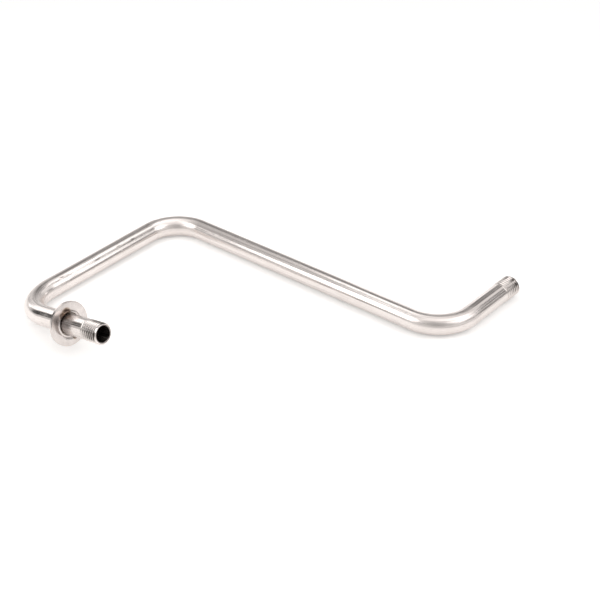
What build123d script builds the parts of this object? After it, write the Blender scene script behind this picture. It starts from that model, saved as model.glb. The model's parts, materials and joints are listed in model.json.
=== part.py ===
from build123d import *
import math
import os

os.makedirs("parts", exist_ok=True)

# Tube stock
tube_od = 15.875
tube_wall = 1.65
bend_radius = 30.5
inlet_bend_radius = 37.0

# Legs, measured along the centre line from corner to corner or corner to end
inlet_leg = 102.5
riser_leg = 175.5
long_leg = 273.0
outlet_leg = 88.3

# The inlet leg leaves its corner rising from the plane of the other three, and short of square
inlet_lift = 11.9
inlet_splay = 3.5

# The thread rolled on both ends stands proud of the tube, and its mouth is broken inside and out
thread_rise = 0.25
thread_length = 18.0
mouth_chamfer = 0.3
mouth_land = 0.6

# Flange washer on the inlet leg, set back from the end, countersunk on its front
flange_setback = 38.2
flange_diameter = 34.0
flange_thickness = 2.4
flange_clearance = 0.15
flange_countersink = 1.7
flange_edge = 0.35

# Fillet weld between the back of the flange and the tube
weld_leg = 3.0

tube_radius = tube_od / 2
bore_radius = tube_radius - tube_wall
thread_radius = tube_radius + thread_rise
thread_chamfer = thread_radius - bore_radius - mouth_land - mouth_chamfer
flange_radius = flange_diameter / 2
flange_hole_radius = thread_radius + flange_clearance

lift = math.radians(inlet_lift)
splay = math.radians(inlet_splay)
inlet_axis = Vector(
    math.cos(lift) * math.cos(splay),
    -math.cos(lift) * math.sin(splay),
    math.sin(lift),
)
outlet_axis = Vector(0, 1, 0)

# Three legs lie level on the crest of the outlet thread, with the origin under the middle of the outline
rim_tilt = math.sqrt(1 - inlet_axis.Y**2)
rim_station = inlet_leg - flange_setback - flange_edge
front_y = riser_leg - rim_station * inlet_axis.Y + flange_radius * rim_tilt
rear_y = (front_y - outlet_leg) / 2
rear_x = -(long_leg + thread_rise) / 2

rear_corner = Vector(rear_x, rear_y, thread_radius)
near_corner = rear_corner + Vector(long_leg, 0, 0)
outlet_end = near_corner + outlet_axis * outlet_leg
inlet_corner = rear_corner - Vector(0, riser_leg, 0)
inlet_end = inlet_corner + inlet_axis * inlet_leg
flange_front = inlet_end - inlet_axis * flange_setback
flange_back = flange_front - inlet_axis * flange_thickness

# Bent tube
with BuildPart() as bent_tube:
    with BuildLine() as centre_line:
        FilletPolyline(
            inlet_end,
            inlet_corner,
            rear_corner,
            near_corner,
            outlet_end,
            radius=(inlet_bend_radius, bend_radius, bend_radius),
        )
    with BuildSketch(Plane(origin=inlet_end, z_dir=-inlet_axis)) as section:
        Circle(tube_radius)
        Circle(bore_radius, mode=Mode.SUBTRACT)
    sweep(path=centre_line.wires()[0])
    for end, axis in ((inlet_end, inlet_axis), (outlet_end, outlet_axis)):
        with BuildSketch(Plane(origin=end, z_dir=-axis)):
            Circle(thread_radius)
            Circle(tube_radius - tube_wall / 2, mode=Mode.SUBTRACT)
        extrude(amount=thread_length)
        end_face = bent_tube.faces().filter_by(GeomType.PLANE).sort_by_distance(end)[0]
        chamfer(end_face.outer_wire().edges(), length=thread_chamfer)
        end_face = bent_tube.faces().filter_by(GeomType.PLANE).sort_by_distance(end)[0]
        chamfer(end_face.inner_wires().edges(), length=mouth_chamfer)

# Flange washer
with BuildPart() as flange_washer:
    with BuildSketch(Plane(origin=flange_front, z_dir=-inlet_axis)):
        Circle(flange_radius)
        Circle(flange_hole_radius, mode=Mode.SUBTRACT)
    extrude(amount=flange_thickness)
    flat_faces = flange_washer.faces().filter_by(GeomType.PLANE)
    chamfer([face.outer_wire().edges()[0] for face in flat_faces], length=flange_edge)
    flat_faces = flange_washer.faces().filter_by(GeomType.PLANE)
    front_face = flat_faces.sort_by_distance(inlet_end)[0]
    chamfer(front_face.inner_wires().edges(), length=flange_countersink)

# Weld bead
weld_side = inlet_axis.cross(Vector(0, 0, 1)).normalized()
with BuildPart() as weld_bead:
    with BuildSketch(Plane(origin=flange_back, x_dir=-inlet_axis, z_dir=weld_side)):
        with BuildLine():
            Polyline(
                (0, tube_radius),
                (weld_leg, tube_radius),
                (0, tube_radius + weld_leg),
                close=True,
            )
        make_face()
    revolve(axis=Axis(flange_back, inlet_axis))

bent_tube.part.label = "bent_tube"
flange_washer.part.label = "flange_washer"
weld_bead.part.label = "weld_bead"

export_step(bent_tube.part, "parts/bent_tube.step")
export_step(flange_washer.part, "parts/flange_washer.step")
export_step(weld_bead.part, "parts/weld_bead.step")
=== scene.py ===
import bpy
import json
import math
import numpy as np
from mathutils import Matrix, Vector


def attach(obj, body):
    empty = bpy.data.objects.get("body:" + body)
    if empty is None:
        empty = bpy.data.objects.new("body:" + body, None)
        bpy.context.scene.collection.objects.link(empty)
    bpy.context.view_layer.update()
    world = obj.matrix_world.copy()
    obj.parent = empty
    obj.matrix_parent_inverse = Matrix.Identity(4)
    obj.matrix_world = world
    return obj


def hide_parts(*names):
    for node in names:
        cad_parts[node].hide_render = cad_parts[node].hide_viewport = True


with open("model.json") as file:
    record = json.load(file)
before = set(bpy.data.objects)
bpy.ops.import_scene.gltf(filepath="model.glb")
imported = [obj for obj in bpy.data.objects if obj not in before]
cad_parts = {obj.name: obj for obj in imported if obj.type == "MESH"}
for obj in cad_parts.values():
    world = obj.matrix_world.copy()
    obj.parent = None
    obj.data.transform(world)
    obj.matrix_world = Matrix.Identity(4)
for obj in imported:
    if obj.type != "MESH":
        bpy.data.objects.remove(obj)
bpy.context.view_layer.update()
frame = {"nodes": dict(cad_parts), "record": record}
scene = bpy.context.scene
mm = 0.001
mounts = {mount["name"]: mount for mount in frame["record"]["mounts"]}
print("frame loaded:", sorted(frame["nodes"]))

# the tube's route, from the frame's thread mounts and the legs' own lengths
route = {
    "tubeRadius": 7.9375 * mm,
    "wall": 1.65 * mm,
    "leadChamfer": 1.0 * mm,       # cone on the nose of each thread
    "mouthChamfer": 0.3 * mm,
    "lipWidth": 0.6 * mm,
    "inletLeg": 102.5 * mm,
    "outletLeg": 88.3 * mm,
    "inletBendRadius": 37.0 * mm,
    "bendRadius": 30.5 * mm,
    "wideBendStretch": 0.25,       # the wide bend's skin is hardly drawn
}
threadRadius = mounts["inlet_thread"]["dims"]["r_mm"] * mm
threadLength = mounts["inlet_thread"]["dims"]["length_mm"] * mm + route["leadChamfer"]
boreRadius = route["tubeRadius"] - route["wall"]
lipInner = boreRadius + route["mouthChamfer"]
lipOuter = lipInner + route["lipWidth"]


def endOf(name):
    mount = mounts[name]
    axis = Vector(mount["axis"]).normalized()
    reach = mount["dims"]["length_mm"] * mm / 2 + route["leadChamfer"]
    return Vector(mount["pos_m"]) + axis * reach, axis


inletEnd, inletAxis = endOf("inlet_thread")
outletEnd, outletAxis = endOf("outlet_thread")
nearCorner = outletEnd - outletAxis * route["outletLeg"]
inletCorner = inletEnd - inletAxis * route["inletLeg"]
rearCorner = Vector((inletCorner.x, nearCorner.y, nearCorner.z))
riserLength = (rearCorner - inletCorner).length


# straight runs and bends in order from the inlet end to the outlet end
def planRoute():
    points = [inletEnd, inletCorner, rearCorner, nearCorner, outletEnd]
    radii = [route["inletBendRadius"], route["bendRadius"], route["bendRadius"]]
    pieces = []
    start = points[0]
    travelled = 0.0
    for corner, after, radius in zip(points[1:4], points[2:5], radii):
        ahead = (corner - start).normalized()
        onward = (after - corner).normalized()
        angle = ahead.angle(onward)
        bendStart = corner - ahead * radius * math.tan(angle / 2)
        length = (bendStart - start).length
        pieces.append({"kind": "run", "start": start, "ahead": ahead, "length": length, "at": travelled})
        travelled += length
        inward = (onward - ahead * ahead.dot(onward)).normalized()
        pieces.append({
            "kind": "bend", "start": bendStart, "ahead": ahead, "inward": inward, "radius": radius,
            "centre": bendStart + inward * radius, "axis": ahead.cross(onward).normalized(),
            "angle": angle, "length": radius * angle, "at": travelled,
            "stretch": 1.0 if radius == route["bendRadius"] else route["wideBendStretch"],
        })
        travelled += radius * angle
        start = corner + onward * radius * math.tan(angle / 2)
    ahead = (outletEnd - start).normalized()
    length = (outletEnd - start).length
    pieces.append({"kind": "run", "start": start, "ahead": ahead, "length": length, "at": travelled})
    return pieces, travelled + length


plan, tubeLength = planRoute()
print("route planned: %.1f mm of tube" % (tubeLength / mm))


# edit mode steps that carry one open ring along, as on a lathe
def startRing(name, centre, axis, radius, sides):
    bpy.ops.object.select_all(action="DESELECT")
    bpy.ops.mesh.primitive_circle_add(
        vertices=sides, radius=radius, location=centre, rotation=axis.to_track_quat("Z", "Y").to_euler())
    piece = bpy.context.object
    piece.name = piece.data.name = name
    bpy.ops.object.transform_apply(location=True, rotation=True, scale=True)
    # turns round the ring, copied on by every extrude
    lap = piece.data.attributes.new("lap", "FLOAT", "POINT")
    lap.data.foreach_set("value", [index / sides for index in range(sides)])
    bpy.ops.object.mode_set(mode="EDIT")
    bpy.ops.mesh.select_mode(type="EDGE")
    bpy.ops.mesh.select_all(action="SELECT")
    return piece


def runOn(step):
    bpy.ops.mesh.extrude_region_move(TRANSFORM_OT_translate={"value": step})


def widen(factor, centre):
    bpy.ops.transform.resize(value=(factor, factor, factor), center_override=centre)


def goRound(centre, axis, angle, steps):
    bpy.ops.mesh.spin(steps=steps, angle=-angle, center=centre, axis=axis)      # spin counts clockwise


def closeShell(piece):
    bpy.ops.mesh.select_all(action="DESELECT")
    bpy.ops.mesh.select_non_manifold(extend=False)      # the first and the last ring
    bpy.ops.mesh.bridge_edge_loops()
    bpy.ops.mesh.select_all(action="SELECT")
    bpy.ops.mesh.normals_make_consistent(inside=False)
    bpy.ops.object.mode_set(mode="OBJECT")


def coordsOf(piece):
    co = np.empty(len(piece.data.vertices) * 3)
    piece.data.vertices.foreach_get("co", co)
    return co.reshape(-1, 3)


def moveTo(piece, co):
    piece.data.vertices.foreach_set("co", co.ravel())
    piece.data.update()


def lapOf(piece):
    lap = np.empty(len(piece.data.vertices))
    piece.data.attributes["lap"].data.foreach_get("value", lap)
    return lap


def keepAttribute(piece, name, kind, values):
    layer = piece.data.attributes.new(name, kind, "POINT")
    field = "vector" if kind == "FLOAT_VECTOR" else "value"
    layer.data.foreach_set(field, np.asarray(values, np.float32).ravel())


# distance along the route, the point of the centre line beside it, how far off it and how far into a bend
def stationOf(co):
    tie = 1e-7      # a later step has to be nearer by this much
    best = np.full(len(co), np.inf)
    along = np.zeros(len(co))
    beside = np.zeros_like(co)
    bent = np.zeros(len(co))
    for step in plan:
        start, ahead = np.array(step["start"]), np.array(step["ahead"])
        if step["kind"] == "run":
            here = np.clip((co - start) @ ahead, 0, step["length"])
            foot = start + here[:, None] * ahead
            share = np.zeros(len(co))
        else:
            inward, centre = np.array(step["inward"]), np.array(step["centre"])
            turn = np.arctan2((co - centre) @ ahead, -(co - centre) @ inward)
            turn = np.clip(turn, 0, step["angle"])
            out = np.cos(turn)[:, None] * -inward + np.sin(turn)[:, None] * ahead
            foot = centre + step["radius"] * out
            here = turn * step["radius"]
            share = np.sin(turn / step["angle"] * math.pi) ** 0.5 * step["stretch"]
        gap = np.linalg.norm(co - foot, axis=1)
        nearer = gap < best - tie
        best[nearer] = gap[nearer]
        along[nearer] = step["at"] + here[nearer]
        beside[nearer] = foot[nearer]
        bent[nearer] = share[nearer]
    return along, beside, best, bent


tubeSettings = {
    "sides": 96,
    "bendSteps": 36,
    "smoothAngle": 38,
    "slack": 0.05 * mm,       # finds the rings at both ends of a thread
    "skin": 0.3 * mm,         # still the outside, this far under the tube's radius
    "pitch": 2.309 * mm,
    "threadDepth": 0.55 * mm,
    "crestShare": 0.3,        # flat of a crest, in pitches
    "rootShare": 0.36,
    "rowsPerPitch": 16,
    "runOut": 1.9,            # turns over which the thread fades into the tube
    "noseShare": 0.3,         # of the thread's finish on its nose
    "hollow": 0.25,           # depth that counts as a groove, of the whole
    # painted shade on the inner edge of each mouth
    "mouthShade": 0.9,
    "mouthFade": 1.6,         # how far in it goes, in mouth chamfers
    "stainAndShadeSoft": 0.5,         # share of each mark's half angle, and of its reach, over which it fades
    "stainAndShadeFade": 0.6,
    # old oil on the threads, with painted shade in the grooves of the inlet's front (first entry) and a
    # painted dark reflection along the inlet thread's top (second entry): at the outlet, facing, half angle,
    # reach from the end, share on the crests and in the grooves
    "stainsAndShade": [
        (False, (-0.08, -0.985, 0.12), 38, 19.0 * mm, 0.38, 1.0),
        (False, (-0.17, 0.32, 0.93), 24, 21.0 * mm, 0.5, 0.95),
        (True, (0.383, 0.0, 0.924), 11, 9.5 * mm, 0.75, 0.95),
        (True, (0.805, 0.0, 0.595), 11, 9.5 * mm, 0.7, 0.95),
        (True, (-0.33, 0.0, 0.944), 12, 9.5 * mm, 0.5, 0.8),
        (True, (0.96, 0.0, 0.28), 26, 17.0 * mm, 0.0, 0.75),
    ],
    # nicks and rubs on the second leg: distance before the rear corner, facing, length, width, share
    "nicks": [
        (131.0 * mm, (0.45, 0.0, 0.89), 3.0 * mm, 0.7 * mm, 0.8),
        (127.0 * mm, (0.58, 0.0, 0.81), 7.0 * mm, 1.5 * mm, 0.45),
        (121.0 * mm, (0.8, 0.0, 0.6), 6.0 * mm, 1.2 * mm, 0.4),
        (137.0 * mm, (0.53, 0.0, 0.85), 4.5 * mm, 0.9 * mm, 0.7),
        (142.5 * mm, (0.57, 0.0, 0.82), 3.5 * mm, 1.0 * mm, 0.55),
        (147.0 * mm, (0.57, 0.0, 0.82), 3.0 * mm, 0.8 * mm, 0.45),
        (94.0 * mm, (0.61, 0.0, 0.79), 4.0 * mm, 0.7 * mm, 0.85),
        (69.5 * mm, (0.48, 0.0, 0.87), 3.0 * mm, 0.6 * mm, 0.7),
        (54.0 * mm, (0.56, 0.0, 0.83), 2.6 * mm, 0.8 * mm, 0.85),
        (57.0 * mm, (0.66, 0.0, 0.75), 9.0 * mm, 0.5 * mm, 0.5),
        (100.0 * mm, (0.3, 0.0, 0.95), 14.0 * mm, 0.5 * mm, 0.6),
    ],
}


def turnTube():
    opts = tubeSettings
    piece = startRing("filterTube", inletEnd, inletAxis, lipOuter, opts["sides"])
    # nose cone and thread of the inlet
    runOn(-inletAxis * route["leadChamfer"])
    widen(threadRadius / lipOuter, inletEnd - inletAxis * route["leadChamfer"])
    runOn(-inletAxis * (threadLength - route["leadChamfer"]))
    widen(route["tubeRadius"] / threadRadius, inletEnd - inletAxis * threadLength)
    # legs and bends of the outside
    for index, step in enumerate(plan):
        if step["kind"] == "run":
            used = threadLength if index == 0 or index == len(plan) - 1 else 0.0
            runOn(step["ahead"] * (step["length"] - used))
        else:
            goRound(step["centre"], step["axis"], step["angle"], opts["bendSteps"])
    # thread and nose cone of the outlet
    runOn(outletAxis * (threadLength - route["leadChamfer"]))
    widen(threadRadius / route["tubeRadius"], outletEnd - outletAxis * route["leadChamfer"])
    runOn(outletAxis * route["leadChamfer"])
    widen(lipOuter / threadRadius, outletEnd)
    # over the lip and back along the bore
    runOn(Vector((0, 0, 0)))
    widen(lipInner / lipOuter, outletEnd)
    runOn(-outletAxis * route["mouthChamfer"])
    widen(boreRadius / lipInner, outletEnd - outletAxis * route["mouthChamfer"])
    for index, step in reversed(list(enumerate(plan))):
        if step["kind"] == "run":
            used = route["mouthChamfer"] if index == 0 or index == len(plan) - 1 else 0.0
            runOn(-step["ahead"] * (step["length"] - used))
        else:
            goRound(step["centre"], step["axis"], -step["angle"], opts["bendSteps"])
    runOn(inletAxis * route["mouthChamfer"])
    widen(lipInner / boreRadius, inletEnd)
    closeShell(piece)
    return piece


def rowThreads(piece):
    # the long edges of both thread zones are cut into close rows
    opts = tubeSettings
    rows = int((threadLength - route["leadChamfer"]) / opts["pitch"] * opts["rowsPerPitch"])
    along, _, gap, _ = stationOf(coordsOf(piece))
    fromEnd = np.minimum(along, tubeLength - along)
    outside = gap > route["tubeRadius"] - opts["skin"]
    nose = outside & (np.abs(fromEnd - route["leadChamfer"]) < opts["slack"])
    heel = outside & (np.abs(fromEnd - threadLength) < opts["slack"])
    bpy.ops.object.mode_set(mode="EDIT")
    bpy.ops.mesh.select_all(action="DESELECT")
    bpy.ops.object.mode_set(mode="OBJECT")
    for edge in piece.data.edges:
        a, b = edge.vertices
        edge.select = bool((nose[a] and heel[b]) or (nose[b] and heel[a]))
    bpy.ops.object.mode_set(mode="EDIT")
    bpy.ops.mesh.select_mode(type="EDGE")
    bpy.ops.mesh.subdivide_edgering(number_cuts=rows, interpolation="LINEAR", smoothness=0.0)
    bpy.ops.object.mode_set(mode="OBJECT")


def cutThreads(piece):
    opts = tubeSettings
    co = coordsOf(piece)
    along, beside, gap, _ = stationOf(co)
    fromEnd = np.minimum(along, tubeLength - along)
    atOutlet = along > tubeLength / 2
    zone = gap > route["tubeRadius"] - opts["skin"]
    zone &= (fromEnd > route["leadChamfer"] - opts["slack"]) & (fromEnd < threadLength + opts["slack"])
    turns = fromEnd / opts["pitch"] + np.where(atOutlet, 1, -1) * lapOf(piece)
    wave = np.abs((turns % 1.0) * 2 - 1)                    # 0 at a root's middle, 1 at a crest's
    flank = np.clip((wave - opts["rootShare"]) / (1 - opts["rootShare"] - opts["crestShare"]), 0, 1)
    ridge = flank * flank * (3 - 2 * flank)
    fade = np.clip((threadLength - fromEnd) / (opts["runOut"] * opts["pitch"]), 0, 1)
    fade = fade * fade * (3 - 2 * fade)
    crest = route["tubeRadius"] + (threadRadius - route["tubeRadius"]) * fade
    cut = crest - opts["threadDepth"] * (1 - ridge) * fade
    cone = lipOuter + (threadRadius - lipOuter) * fromEnd / route["leadChamfer"]
    cut = np.minimum(cut, cone)
    out = (co - beside) / np.maximum(gap, 1e-9)[:, None]
    co[zone] = beside[zone] + out[zone] * cut[zone, None]
    moveTo(piece, co)
    soilAndShade = np.zeros(len(co))
    hollow = np.clip((1 - ridge) / opts["hollow"], 0, 1)
    # oil on the threads, plus painted groove shade on the inlet's front and a painted dark reflection along
    # the inlet thread's top
    for farEnd, facing, half, reach, onCrests, inGrooves in opts["stainsAndShade"]:
        turned = np.degrees(np.arccos(np.clip(out @ np.array(facing), -1, 1)))
        stainAndShade = np.clip((half - turned) / (half * opts["stainAndShadeSoft"]), 0, 1)
        stainAndShade *= np.clip((reach - fromEnd) / (reach * opts["stainAndShadeFade"]), 0, 1)
        stainAndShade *= onCrests + (inGrooves - onCrests) * hollow
        soilAndShade = np.maximum(soilAndShade, (atOutlet == farEnd) * stainAndShade)
    keepAttribute(piece, "groove", "FLOAT", np.where(zone, (1 - ridge) * fade, 0.0))
    # painted shade inside the mouth, darkest on the mouth's own edge
    inward = np.clip(1 - fromEnd / (opts["mouthFade"] * route["mouthChamfer"]), 0, 1)
    mouth = np.where(gap < lipInner + opts["slack"], opts["mouthShade"] * inward, 0.0)
    keepAttribute(piece, "soilAndShade", "FLOAT", np.where(zone, soilAndShade, mouth))
    zone |= fromEnd < route["leadChamfer"]
    keepAttribute(piece, "thread", "FLOAT", np.where(zone, np.maximum(fade, opts["noseShare"]), 0.0))


def keepRun(piece):
    # the tube unrolled straight, so that draw lines follow the bends
    co = coordsOf(piece)
    along, beside, gap, bent = stationOf(co)
    angle = lapOf(piece) * 2 * math.pi
    run = np.stack([along, gap * np.cos(angle), gap * np.sin(angle)], 1)
    keepAttribute(piece, "run", "FLOAT_VECTOR", run)
    keepAttribute(piece, "bent", "FLOAT", bent)
    # where each nick lies on the unrolled tube
    places = []
    out = (co - beside) / gap[:, None]
    for before, facing, length, width, share in tubeSettings["nicks"]:
        at = stationOf(np.array([rearCorner - Vector((0, before, 0))]))[0][0]
        ring = (gap > route["tubeRadius"] - tubeSettings["skin"]) & (np.abs(along - at) < riserLength / 2)
        turn = angle[ring][np.argmax(out[ring] @ np.array(facing))]
        spot = (at, math.cos(turn) * route["tubeRadius"], math.sin(turn) * route["tubeRadius"])
        places.append((spot, length, width, share))
    return places


filterTube = turnTube()
rowThreads(filterTube)
cutThreads(filterTube)
nicks = keepRun(filterTube)
bpy.ops.object.shade_smooth_by_angle(angle=math.radians(tubeSettings["smoothAngle"]))
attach(filterTube, "root")
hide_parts("bent_tube")
print("filter tube turned:", len(filterTube.data.polygons), "faces")


# flange washer, from the frame's face mount, turned round the inlet leg
washerSettings = {
    "sides": 128,
    "smoothAngle": 32,
    "radius": 17.0 * mm,
    "thickness": 2.4 * mm,
    "holeRadius": threadRadius + 0.15 * mm,      # clears the thread
    "edge": 0.35 * mm,
    "soft": 0.12 * mm,                           # worn corners
    "flatRing": 13.5 * mm,
    "valley": 1.8 * mm,                          # out from the hole's wall, it sets off the lip
    "dip": 0.4 * mm,
    # rings across the valley: out from its middle, share of the dip
    "valleyRings": [
        (0.55 * mm, 0.0), (0.3 * mm, 0.35), (0.0, 1.0),
        (-0.3 * mm, 0.75), (-0.6 * mm, 0.35), (-0.85 * mm, 0.08),
    ],
    "lip": 0.85 * mm,                            # rolls over into the hole
    "roundSteps": 8,
}
faceSpot = Vector(mounts["flange_face"]["pos_m"])
washerFront = inletEnd - inletAxis * (inletEnd - faceSpot).dot(inletAxis)


def turnRings(name, origin, sides, profile):
    # profile: distance behind the origin and radius of each ring
    back, radius = profile[0]
    piece = startRing(name, origin - inletAxis * back, inletAxis, radius, sides)
    for nextBack, nextRadius in profile[1:]:
        runOn(-inletAxis * (nextBack - back))
        widen(nextRadius / radius, origin - inletAxis * nextBack)
        back, radius = nextBack, nextRadius
    closeShell(piece)
    return piece


def turnWasher():
    opts = washerSettings
    rim, edge, thick = opts["radius"], opts["edge"], opts["thickness"]
    hole, soft, lip = opts["holeRadius"], opts["soft"], opts["lip"]
    profile = [
        (thick, hole), (thick, rim - edge - soft), (thick - 0.3 * soft, rim - edge + 0.4 * soft),
        (thick - edge + 0.4 * soft, rim - 0.3 * soft), (thick - edge - soft, rim),
        (edge + soft, rim), (edge - 0.4 * soft, rim - 0.3 * soft), (0.3 * soft, rim - edge + 0.4 * soft),
        (0.0, rim - edge - soft), (0.0, opts["flatRing"]),
    ]
    for place, share in opts["valleyRings"]:
        profile.append((opts["dip"] * share, hole + opts["valley"] + place))
    for step in range(1, opts["roundSteps"] + 1):
        turn = math.pi / 2 * step / opts["roundSteps"]
        profile.append((lip * (1 - math.cos(turn)), hole + lip * (1 - math.sin(turn))))
    return turnRings("flangeWasher", washerFront, opts["sides"], profile)


def keepRadial(piece, origin):
    # behind the washer's face, height over the axis and distance to the front
    co = coordsOf(piece) - np.array(origin)
    back = -(co @ np.array(inletAxis))
    out = co + back[:, None] * np.array(inletAxis)
    up = Vector((0, 0, 1)) - inletAxis * inletAxis.z
    up.normalize()
    front = inletAxis.cross(up)
    run = np.stack([back, out @ np.array(up), out @ np.array(front)], 1)
    keepAttribute(piece, "run", "FLOAT_VECTOR", run)
    keepAttribute(piece, "reach", "FLOAT", np.linalg.norm(out, axis=1))


flangeWasher = turnWasher()
keepRadial(flangeWasher, washerFront)
bpy.ops.object.shade_smooth_by_angle(angle=math.radians(washerSettings["smoothAngle"]))
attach(flangeWasher, "root")
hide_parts("flange_washer")
print("flange washer turned:", len(flangeWasher.data.polygons), "faces")


weldSettings = {
    "sides": 288,
    "smoothAngle": 50,
    "leg": 3.0 * mm,
    "through": 1.7 * mm,      # metal run through the gap, this far behind the washer's front
    "slack": 0.01 * mm,       # keeps that metal off the hole's wall
    "rows": 12,
    "crown": 0.21 * mm,
    "ripples": 46,
    "rippleHeight": 0.16 * mm,
    "rippleMiddle": 0.6,
    "rippleShape": 0.7,
    "trail": 0.55,            # ripples bow back at the bead's middle, in ripples
    "unevenSteps": [(7, 0.35), (3, 0.2)],                          # waves round the bead, ripples
    "wander": [(5, 0.12 * mm, 1.0), (11, 0.08 * mm, 0.0)],         # waves round the bead, height, phase
}


def layWeld():
    opts = weldSettings
    back = washerSettings["thickness"]
    root = route["tubeRadius"]
    leg = opts["leg"]
    hole = washerSettings["holeRadius"] - opts["slack"]
    profile = [(opts["through"], root), (opts["through"], hole), (back, hole), (back, root + leg)]
    for row in range(1, opts["rows"]):
        share = row / opts["rows"]
        profile.append((back + leg * share, root + leg * (1 - share)))
    profile.append((back + leg, root))
    piece = turnRings("weldRing", washerFront, opts["sides"], profile)
    # ripples of the puddle, bowed across the bead
    co = coordsOf(piece)
    local = co - np.array(washerFront)
    behind = -(local @ np.array(inletAxis))
    out = local + behind[:, None] * np.array(inletAxis)
    reach = np.linalg.norm(out, axis=1)
    out /= reach[:, None]
    across = np.clip((behind - back) / leg, 0, 1)
    onFace = np.abs((behind - back) + (reach - root) - leg) < 2 * opts["slack"]
    bow = np.sin(across * math.pi)
    lap = lapOf(piece)
    turn = lap * 2 * math.pi
    phase = lap * opts["ripples"] - opts["trail"] * bow
    for waves, share in opts["unevenSteps"]:
        phase += share * np.sin(turn * waves)
    ripple = np.abs(np.sin(phase * math.pi)) ** opts["rippleShape"]
    lift = opts["crown"] + opts["rippleHeight"] * (ripple - opts["rippleMiddle"])
    for waves, height, shift in opts["wander"]:
        lift += height * np.sin(turn * waves + shift)
    lift *= bow
    normal = (out - np.array(inletAxis)) / math.sqrt(2)
    co[onFace] += normal[onFace] * lift[onFace, None]
    moveTo(piece, co)
    return piece


weldRing = layWeld()
keepRadial(weldRing, washerFront)
bpy.ops.object.shade_smooth_by_angle(angle=math.radians(weldSettings["smoothAngle"]))
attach(weldRing, "root")
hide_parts("weld_bead")
print("weld laid:", len(weldRing.data.polygons), "faces")


# materials
def newMaterial(name):
    material = bpy.data.materials.new(name)
    material.use_nodes = True
    tree = material.node_tree
    tree.nodes.clear()
    output = tree.nodes.new("ShaderNodeOutputMaterial")
    shader = tree.nodes.new("ShaderNodeBsdfPrincipled")
    tree.links.new(shader.outputs["BSDF"], output.inputs["Surface"])
    return material, tree, shader


def attribute(tree, name, socket):
    node = tree.nodes.new("ShaderNodeAttribute")
    node.attribute_name = name
    return node.outputs[socket]


def stretched(tree, vector, scale):
    node = tree.nodes.new("ShaderNodeMapping")
    node.inputs["Scale"].default_value = scale
    tree.links.new(vector, node.inputs["Vector"])
    return node.outputs["Vector"]


def noisesOn(tree, vector, kinds):
    # one noise of each kind: scale on the vector's three axes, detail, roughness
    made = {}
    for name, (scale, detail, roughness) in kinds.items():
        node = tree.nodes.new("ShaderNodeTexNoise")
        node.inputs["Scale"].default_value = 1.0
        node.inputs["Detail"].default_value = detail
        node.inputs["Roughness"].default_value = roughness
        tree.links.new(stretched(tree, vector, scale), node.inputs["Vector"])
        made[name] = node.outputs["Fac"]
    return made


def remap(tree, value, low, high, toLow, toHigh):
    node = tree.nodes.new("ShaderNodeMapRange")
    node.inputs["From Min"].default_value = low
    node.inputs["From Max"].default_value = high
    node.inputs["To Min"].default_value = toLow
    node.inputs["To Max"].default_value = toHigh
    tree.links.new(value, node.inputs["Value"])
    return node.outputs["Result"]


def maths(tree, operation, a, b):
    node = tree.nodes.new("ShaderNodeMath")
    node.operation = operation
    for socket, value in zip(node.inputs, (a, b)):
        if isinstance(value, (int, float)):
            socket.default_value = value
        else:
            tree.links.new(value, socket)
    return node.outputs["Value"]


def blend(tree, share, a, b):
    node = tree.nodes.new("ShaderNodeMix")
    node.data_type = "RGBA"
    for name, value in (("Factor", share), ("A", a), ("B", b)):
        kind = "VALUE" if name == "Factor" else "RGBA"
        socket = [s for s in node.inputs if s.name == name and s.type == kind][0]
        if isinstance(value, (int, float)):
            socket.default_value = value
        elif isinstance(value, tuple):
            socket.default_value = (*value, 1.0)
        else:
            tree.links.new(value, socket)
    return [s for s in node.outputs if s.type == "RGBA"][0]


def ramp(tree, value, stops):
    node = tree.nodes.new("ShaderNodeValToRGB")
    elements = node.color_ramp.elements
    while len(elements) < len(stops):
        elements.new(0.5)
    for element, (place, colour) in zip(elements, stops):
        element.position = place
        element.color = (*colour, 1.0)
    tree.links.new(value, node.inputs["Fac"])
    return node.outputs["Color"]


def bump(tree, height, distance, strength, under=None):
    node = tree.nodes.new("ShaderNodeBump")
    node.inputs["Distance"].default_value = distance
    node.inputs["Strength"].default_value = strength
    tree.links.new(height, node.inputs["Height"])
    if under is not None:
        tree.links.new(under, node.inputs["Normal"])
    return node.outputs["Normal"]


def spotOn(tree, vector, centre, radius, soft, scale=None, ragged=None):
    # 1 inside a spot, fading to 0 over its soft edge; scale makes it an oval, ragged breaks its edge
    away = tree.nodes.new("ShaderNodeVectorMath")
    away.operation = "SUBTRACT"
    away.inputs[1].default_value = centre
    tree.links.new(vector, away.inputs[0])
    far = tree.nodes.new("ShaderNodeVectorMath")
    far.operation = "LENGTH"
    tree.links.new(stretched(tree, away.outputs["Vector"], scale or (1.0, 1.0, 1.0)), far.inputs[0])
    distance = far.outputs["Value"]
    if ragged is not None:
        distance = maths(tree, "ADD", distance, remap(tree, ragged, 0.35, 0.65, -0.4, 0.5))
    return remap(tree, distance, radius - soft, radius, 1.0, 0.0)


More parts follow.
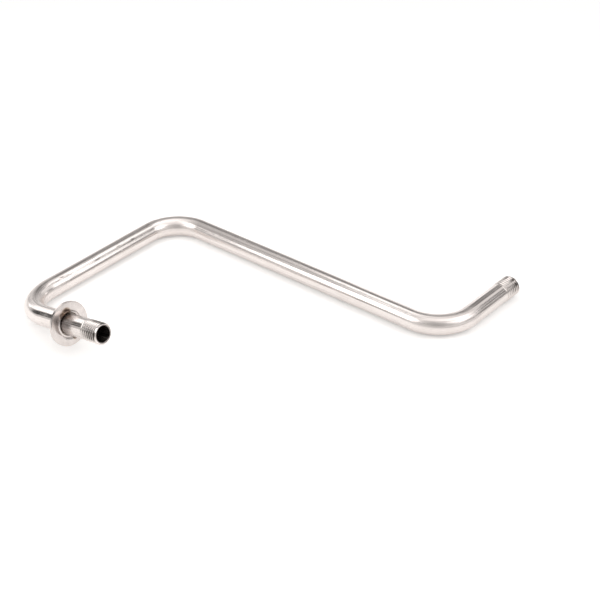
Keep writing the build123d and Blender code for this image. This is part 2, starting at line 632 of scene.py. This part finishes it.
washerAt = (inletEnd - washerFront).length
steelFinish = {
    "colour": (0.87, 0.812, 0.783),
    "smudge": (0.75, 0.685, 0.655),
    # dark of oil on the threads, also used as painted shade in the grooves and mouths and as a painted dark
    # reflection
    "oilAndShade": (0.03, 0.021, 0.015),
    "score": (0.4, 0.36, 0.34),
    "nick": (0.13, 0.11, 0.1),
    "grey": (0.4, 0.37, 0.36),
    "greyReach": 13.0 * mm,        # heat marks before and behind the washer's face; the grey before it is partly a painted reflection of the washer's face
    "heatReach": 15.0 * mm,
    # straw, brown, violet and grey scale towards the weld
    "heat": [(0.1, (0.82, 0.75, 0.68)), (0.35, (0.72, 0.58, 0.4)), (0.52, (0.5, 0.36, 0.3)),
             (0.64, (0.42, 0.38, 0.46)), (0.78, (0.45, 0.42, 0.4))],
    "greyShare": 0.8,
    "heatShare": 0.85,
    "heatWander": 0.08,
    "nickSoft": 0.6,
    "grooveDirtAndShade": 0.22,
    "soilAndShadeShare": 0.97,
    # noises on the unrolled tube: scale along and across it, detail, roughness
    "noises": {
        "fineLines": ((12, 2600, 2600), 2.0, 0.55),       # draw lines along the tube
        "wideLines": ((5, 520, 520), 3.0, 0.55),
        "scores": ((14, 1150, 1150), 1.5, 0.55),
        "scuffs": ((95, 420, 420), 4.0, 0.7),             # knocks and dull rubs
        "speckle": ((900, 2400, 2400), 3.0, 0.55),
        "clouds": ((55, 55, 55), 4.0, 0.55),              # handling smudges
        "peel": ((1500, 1500, 1500), 2.0, 0.55),          # stretched skin of the bends
    },
    # marks over the colour: noise, from and to, share, colour
    "marks": [
        ("clouds", 0.45, 0.75, 0.35, "smudge"), ("wideLines", 0.35, 0.7, 0.22, "smudge"),
        ("scores", 0.58, 0.72, 0.55, "score"), ("scuffs", 0.63, 0.75, 0.7, "score"),
    ],
    "roughness": 0.14,
    # what it gains: noise, from and to, least and most
    "roughBy": [
        ("fineLines", 0.36, 0.64, -0.05, 0.17), ("clouds", 0.4, 0.7, -0.02, 0.04),
        ("scuffs", 0.58, 0.72, 0.0, 0.16),
    ],
    # dulled by the bender's clamp where the first and the last bend end: the run that starts there, reach
    "rubs": [(2, 17.0 * mm), (6, 8.0 * mm)],
    "rubRoughness": 0.16,
    "bendRoughness": 0.18,
    "greyRoughness": 0.12,
    "threadRoughness": 0.04,
    # depth and strength of the relief
    "fineBump": (0.006 * mm, 0.5),
    "wideBump": (0.04 * mm, 0.5),
    "peelBump": (0.02 * mm, 0.35),
}


def drawnSteel():
    look = steelFinish
    material, tree, shader = newMaterial("drawnSteel")
    run = attribute(tree, "run", "Vector")
    zones = ("bent", "groove", "thread", "soilAndShade")
    bent, groove, thread, soilAndShade = [attribute(tree, name, "Fac") for name in zones]
    split = tree.nodes.new("ShaderNodeSeparateXYZ")
    tree.links.new(run, split.inputs["Vector"])
    along = split.outputs["X"]
    greyed = maths(tree, "MULTIPLY", maths(tree, "LESS_THAN", along, washerAt),
                   remap(tree, along, washerAt - look["greyReach"], washerAt, 0.0, 1.0))
    tinted = maths(tree, "MULTIPLY", maths(tree, "GREATER_THAN", along, washerAt),
                   remap(tree, along, washerAt, washerAt + look["heatReach"], 1.0, 0.0))
    rubs = []
    for index, reach in look["rubs"]:
        away = maths(tree, "ABSOLUTE", maths(tree, "SUBTRACT", along, plan[index]["at"]), 0.0)
        rubs.append(remap(tree, away, 0.0, reach, 1.0, 0.0))
    rubbed = maths(tree, "MAXIMUM", *rubs)
    noises = noisesOn(tree, run, look["noises"])
    base = look["colour"]
    for name, low, high, share, mark in look["marks"]:
        base = blend(tree, remap(tree, noises[name], low, high, 0.0, share), base, look[mark])
    for centre, length, width, share in nicks:
        oval = (1 / length, 1 / width, 1 / width)
        spot = spotOn(tree, run, centre, 1.0, look["nickSoft"], oval, noises["speckle"])
        base = blend(tree, maths(tree, "MULTIPLY", spot, share), base, look["nick"])
    # grey on the stub before the washer: heat oxide, partly a painted reflection of the washer's dark face
    base = blend(tree, remap(tree, greyed, 0.05, 0.5, 0.0, look["greyShare"]), base, look["grey"])
    wander = remap(tree, noises["clouds"], 0.3, 0.7, -look["heatWander"], look["heatWander"])
    heat = ramp(tree, maths(tree, "ADD", tinted, wander), look["heat"])
    base = blend(tree, remap(tree, tinted, 0.0, 0.35, 0.0, look["heatShare"]), base, heat)
    # oil in the thread grooves, partly painted shade of the grooves, then the oil and painted shade kept on
    # the tube
    dirtAndShade = remap(tree, groove, 0.3, 1.0, 0.0, look["grooveDirtAndShade"])
    dirtAndShade = maths(tree, "MAXIMUM", dirtAndShade, maths(tree, "MULTIPLY", soilAndShade, look["soilAndShadeShare"]))
    base = blend(tree, dirtAndShade, base, look["oilAndShade"])
    tree.links.new(base, shader.inputs["Base Color"])
    rough = look["roughness"]
    for name, low, high, least, most in look["roughBy"]:
        rough = maths(tree, "ADD", rough, remap(tree, noises[name], low, high, least, most))
    worn = {"bend": bent, "rub": rubbed, "grey": greyed, "thread": thread}
    for name, zone in worn.items():
        rough = maths(tree, "ADD", rough, maths(tree, "MULTIPLY", zone, look[name + "Roughness"]))
    tree.links.new(rough, shader.inputs["Roughness"])
    lines = bump(tree, noises["wideLines"], *look["wideBump"])
    lines = bump(tree, noises["fineLines"], *look["fineBump"], lines)
    skin = bump(tree, maths(tree, "MULTIPLY", noises["peel"], bent), *look["peelBump"], lines)
    tree.links.new(skin, shader.inputs["Normal"])
    shader.inputs["Metallic"].default_value = 1.0
    return material


washerFinish = {
    "colour": (0.74, 0.685, 0.66),
    "worn": (0.84, 0.785, 0.76),
    "straw": (0.6, 0.47, 0.36),
    "brown": (0.13, 0.08, 0.055),
    # dark of the painted shade deep in the hole's lip
    "creviceShade": (0.05, 0.03, 0.02),
    "grey": (0.5, 0.46, 0.445),
    "brush": (0.6, 0.54, 0.52),
    "brushShare": 0.3,
    "roughness": 0.21,
    # noises on the face: scale along the axis, up and across, detail, roughness
    "noises": {
        "grain": ((2600, 2600, 2600), 3.0, 0.55),
        "brushed": ((200, 260, 2400), 3.0, 0.55),         # up and down the face
        "patches": ((240, 240, 240), 4.0, 0.55),
    },
    "brushBump": (0.012 * mm, 0.4),
    "grainBump": (0.01 * mm, 0.3),
    # heat tint, its dark brown at the hole's top partly painted shade: height over the axis, distance to the
    # front, reach (mm), share
    "heat": [(9.3, 0.8, 4.8, 1.0), (8.4, 4.6, 3.2, 0.9), (-11.2, -2.0, 2.4, 0.9)],
    "heatSoft": 0.45,
    "heatShare": 0.9,
    # painted shade deep in the rolled lip: a spot as above with its soft edge, and how far out from the axis
    # (mm)
    "creviceShadeSpot": (8.0, 3.0, 7.4, 2.4),
    "creviceShadeOut": (9.0, 10.4),
    "creviceShadeShare": 0.95,
    # greyed by the weld's heat and, in the first spot, painted shade: height over the axis, distance to the
    # front, reach, soft edge (mm), share
    "dull": [(3.0, 13.0, 11.0, 8.0, 0.25), (14.0, -1.0, 9.0, 7.0, 0.3)],
}


def washerSteel():
    look = washerFinish
    material, tree, shader = newMaterial("washerSteel")
    run = attribute(tree, "run", "Vector")
    reach = attribute(tree, "reach", "Fac")
    noises = noisesOn(tree, run, look["noises"])
    brushed, patches = noises["brushed"], noises["patches"]
    base = blend(tree, remap(tree, patches, 0.4, 0.7, 0.0, 1.0), look["colour"], look["worn"])
    base = blend(tree, remap(tree, brushed, 0.4, 0.65, 0.0, look["brushShare"]), base, look["brush"])
    flat = stretched(tree, run, (0.0, 1.0, 1.0))

    def spotAt(height, front, radius, soft):
        return spotOn(tree, flat, (0.0, height * mm, front * mm), radius * mm, soft * mm)

    # grey spots on the face, the first of them painted shade
    for height, front, radius, soft, share in look["dull"]:
        dull = spotAt(height, front, radius, soft)
        base = blend(tree, maths(tree, "MULTIPLY", dull, share), base, look["grey"])
    # heat tint round the hole, straw to dark brown, the dark brown partly painted shade
    for height, front, radius, share in look["heat"]:
        spot = spotAt(height, front, radius, radius * look["heatSoft"])
        spot = maths(tree, "MULTIPLY", spot, remap(tree, patches, 0.3, 0.6, 0.55, 1.0))
        tint = ramp(tree, spot, [(0.0, look["straw"]), (0.75, look["brown"])])
        covered = maths(tree, "MULTIPLY", remap(tree, spot, 0.0, 0.5, 0.0, 1.0), share * look["heatShare"])
        base = blend(tree, covered, base, tint)
    # painted shade deep in the rolled lip of the hole
    near, far = look["creviceShadeOut"]
    deep = remap(tree, reach, near * mm, far * mm, look["creviceShadeShare"], 0.0)
    base = blend(tree, maths(tree, "MULTIPLY", spotAt(*look["creviceShadeSpot"]), deep), base, look["creviceShade"])
    tree.links.new(base, shader.inputs["Base Color"])
    rough = maths(tree, "ADD", look["roughness"], remap(tree, brushed, 0.3, 0.7, -0.07, 0.08))
    tree.links.new(rough, shader.inputs["Roughness"])
    grain = bump(tree, noises["grain"], *look["grainBump"])
    tree.links.new(bump(tree, brushed, *look["brushBump"], grain), shader.inputs["Normal"])
    shader.inputs["Metallic"].default_value = 1.0
    return material


weldFinish = {
    "colour": (0.5, 0.46, 0.42),
    # brown, straw, bare and blue patches
    "tints": [(0.25, (0.26, 0.19, 0.15)), (0.42, (0.46, 0.36, 0.27)),
              (0.55, (0.56, 0.5, 0.44)), (0.72, (0.42, 0.4, 0.44))],
    "tintShare": 0.7,
    "roughness": 0.38,
    "noises": {
        "patches": ((420, 420, 420), 4.0, 0.55),
        "crust": ((3200, 3200, 3200), 2.0, 0.55),
    },
    "crustBump": (0.03 * mm, 0.4),
}


def weldSteel():
    look = weldFinish
    material, tree, shader = newMaterial("weldSteel")
    noises = noisesOn(tree, attribute(tree, "run", "Vector"), look["noises"])
    tint = ramp(tree, noises["patches"], look["tints"])
    base = blend(tree, look["tintShare"], look["colour"], tint)
    tree.links.new(base, shader.inputs["Base Color"])
    rough = maths(tree, "ADD", look["roughness"], remap(tree, noises["patches"], 0.3, 0.7, -0.1, 0.12))
    tree.links.new(rough, shader.inputs["Roughness"])
    tree.links.new(bump(tree, noises["crust"], *look["crustBump"]), shader.inputs["Normal"])
    shader.inputs["Metallic"].default_value = 1.0
    return material


def dress(piece, material):
    piece.data.materials.clear()
    piece.data.materials.append(material)


dress(filterTube, drawnSteel())
dress(flangeWasher, washerSteel())
dress(weldRing, weldSteel())
print("materials on")


# floor, light and camera
floorSettings = {
    "size": 8.0,
    "colour": (0.86, 0.855, 0.85),
    "glow": (1.0, 0.985, 0.965),
    "seenGlow": 0.345,        # lifts the table to white for the camera, so that only the contact shadow shows
    "mirroredGlow": 0.25,     # and for what the metal mirrors
}


def layFloor():
    opts = floorSettings
    bpy.ops.object.select_all(action="DESELECT")
    bpy.ops.mesh.primitive_plane_add(size=opts["size"], location=(0, 0, 0))
    floor = bpy.context.object
    floor.name = "floor"
    material, tree, shader = newMaterial("paleTable")
    shader.inputs["Base Color"].default_value = (*opts["colour"], 1.0)
    shader.inputs["Roughness"].default_value = 1.0
    shader.inputs["Specular IOR Level"].default_value = 0.0
    shader.inputs["Emission Color"].default_value = (*opts["glow"], 1.0)
    path = tree.nodes.new("ShaderNodeLightPath")
    seen = maths(tree, "MULTIPLY", path.outputs["Is Camera Ray"], opts["seenGlow"])
    mirrored = maths(tree, "MULTIPLY", path.outputs["Is Glossy Ray"], opts["mirroredGlow"])
    # seen in the metal, not lighting the table
    direct = maths(tree, "LESS_THAN", path.outputs["Diffuse Depth"], 0.5)
    mirrored = maths(tree, "MULTIPLY", mirrored, direct)
    tree.links.new(maths(tree, "ADD", seen, mirrored), shader.inputs["Emission Strength"])
    dress(floor, material)


lampSettings = {
    # shape, place, aim, width, height (m), radiance
    "leftOcta": ("ELLIPSE", (-0.239, -0.496, 0.5), (0.0, 0.03, 0.0), 0.53, 0.56, 2.1),
    "rightBox": ("RECTANGLE", (0.825, 0.345, 0.825), (0.0, 0.0, 0.0), 0.95, 0.85, 1.55),
    "overhead": ("RECTANGLE", (-0.16, 0.21, 0.45), (-0.1, 0.0, 0.0), 0.2, 0.22, 0.85),
    "topCard": ("RECTANGLE", (-0.15, -0.04, 0.45), (0.1, 0.054, 0.0), 0.12, 0.1, 0.95),
    "leftCard": ("RECTANGLE", (-0.62, 0.005, 0.295), (-0.07, -0.1, 0.02), 0.32, 0.19, 1.2),
    "bendCard": ("RECTANGLE", (-0.103, -0.034, 0.061), (-0.128, -0.094, 0.014), 0.042, 0.038, 0.5),
    "lowCard": ("RECTANGLE", (-0.624, -0.052, 0.12), (-0.14, -0.12, 0.012), 0.1, 0.11, 1.15),
    "backCard": ("RECTANGLE", (-0.05, 0.31, 0.07), (0.11, 0.08, 0.0), 0.1, 0.07, 0.75),
}


def hangLamps():
    for name, (shape, place, aim, width, height, radiance) in lampSettings.items():
        data = bpy.data.lights.new(name, "AREA")
        data.shape = shape
        data.size = width
        data.size_y = height
        area = width * height * (math.pi / 4 if shape == "ELLIPSE" else 1.0)
        data.energy = radiance * math.pi * area
        lamp = bpy.data.objects.new(name, data)
        scene.collection.objects.link(lamp)
        lamp.location = place
        lamp.rotation_euler = (Vector(aim) - Vector(place)).to_track_quat("-Z", "Y").to_euler()
        lamp.visible_camera = False


worldSettings = {
    # light of the room by the sine of the height above the horizon
    "levels": [
        (0.0, 0.7), (0.14, 0.62), (0.31, 0.48), (0.5, 0.45),
        (0.7, 0.46), (0.8, 0.6), (0.87, 0.85), (0.93, 1.2),
    ],
    # bright and dark corners of the room: azimuth, elevation, half angle, soft edge (degrees), level
    "corners": [
        (141, 44, 6, 16, 0.36), (142, 26, 6, 12, 0.28), (143, 8, 6, 10, 0.2), (-112, 63, 8, 10, 0.42),
        (7, 50, 5, 8, 1.0), (-3, 25, 7, 8, 0.95), (33, 30, 9, 9, 0.23),
        (-40, 30, 5, 13, 0.24), (-20, 39, 6, 8, 0.26),
        (-109, 18, 9, 6, 0.03), (-70, 3, 5, 8, 0.4), (56, 5, 6, 9, 0.3), (43, 10, 4, 7, 0.28),
    ],
    "tint": (1.0, 0.985, 0.975),
}


def headingOf(azimuth, elevation):
    turn, rise = math.radians(azimuth), math.radians(elevation)
    return Vector((math.sin(turn) * math.cos(rise), math.cos(turn) * math.cos(rise), math.sin(rise)))


def paintWorld():
    opts = worldSettings
    world = bpy.data.worlds.new("studio")
    scene.world = world
    world.use_nodes = True
    tree = world.node_tree
    tree.nodes.clear()
    output = tree.nodes.new("ShaderNodeOutputWorld")
    room = tree.nodes.new("ShaderNodeBackground")
    white = tree.nodes.new("ShaderNodeBackground")
    choose = tree.nodes.new("ShaderNodeMixShader")
    path = tree.nodes.new("ShaderNodeLightPath")
    where = tree.nodes.new("ShaderNodeTexCoord").outputs["Generated"]
    split = tree.nodes.new("ShaderNodeSeparateXYZ")
    tree.links.new(where, split.inputs["Vector"])
    most = max(level for height, level in opts["levels"])
    stops = [(height, (level / most,) * 3) for height, level in opts["levels"]]
    level = maths(tree, "MULTIPLY", ramp(tree, split.outputs["Z"], stops), most)
    for azimuth, elevation, half, soft, corner in opts["corners"]:
        toward = tree.nodes.new("ShaderNodeVectorMath")
        toward.operation = "DOT_PRODUCT"
        toward.inputs[1].default_value = headingOf(azimuth, elevation)
        tree.links.new(where, toward.inputs[0])
        edge = tree.nodes.new("ShaderNodeMapRange")
        edge.interpolation_type = "SMOOTHSTEP"
        edge.inputs["From Min"].default_value = math.cos(math.radians(half + soft))
        edge.inputs["From Max"].default_value = math.cos(math.radians(half))
        tree.links.new(toward.outputs["Value"], edge.inputs["Value"])
        share = edge.outputs["Result"]
        level = maths(tree, "ADD", maths(tree, "MULTIPLY", level, maths(tree, "SUBTRACT", 1.0, share)),
                      maths(tree, "MULTIPLY", share, corner))
    tree.links.new(level, room.inputs["Strength"])
    room.inputs["Color"].default_value = (*opts["tint"], 1.0)
    tree.links.new(path.outputs["Is Camera Ray"], choose.inputs["Fac"])
    tree.links.new(room.outputs["Background"], choose.inputs[1])
    tree.links.new(white.outputs["Background"], choose.inputs[2])
    white.inputs["Color"].default_value = (1.0, 1.0, 1.0, 1.0)
    tree.links.new(choose.outputs["Shader"], output.inputs["Surface"])


cameraSettings = {
    "fromRearCorner": (0.82456, -0.84968, 0.67336),
    "azimuth": -39.101,
    "elevation": 32.577,
    "lens": 98.298,
    "clipStart": 0.01,
}


def placeCamera():
    opts = cameraSettings
    look = headingOf(opts["azimuth"], -opts["elevation"])
    data = bpy.data.cameras.new("photoCamera")
    data.lens = opts["lens"]
    data.clip_start = opts["clipStart"]
    camera = bpy.data.objects.new("photoCamera", data)
    scene.collection.objects.link(camera)
    camera.location = rearCorner + Vector(opts["fromRearCorner"])
    camera.rotation_euler = look.to_track_quat("-Z", "Y").to_euler()
    scene.camera = camera


layFloor()
hangLamps()
paintWorld()
placeCamera()
scene.view_settings.view_transform = "Standard"
print("floor, lamps and camera set")
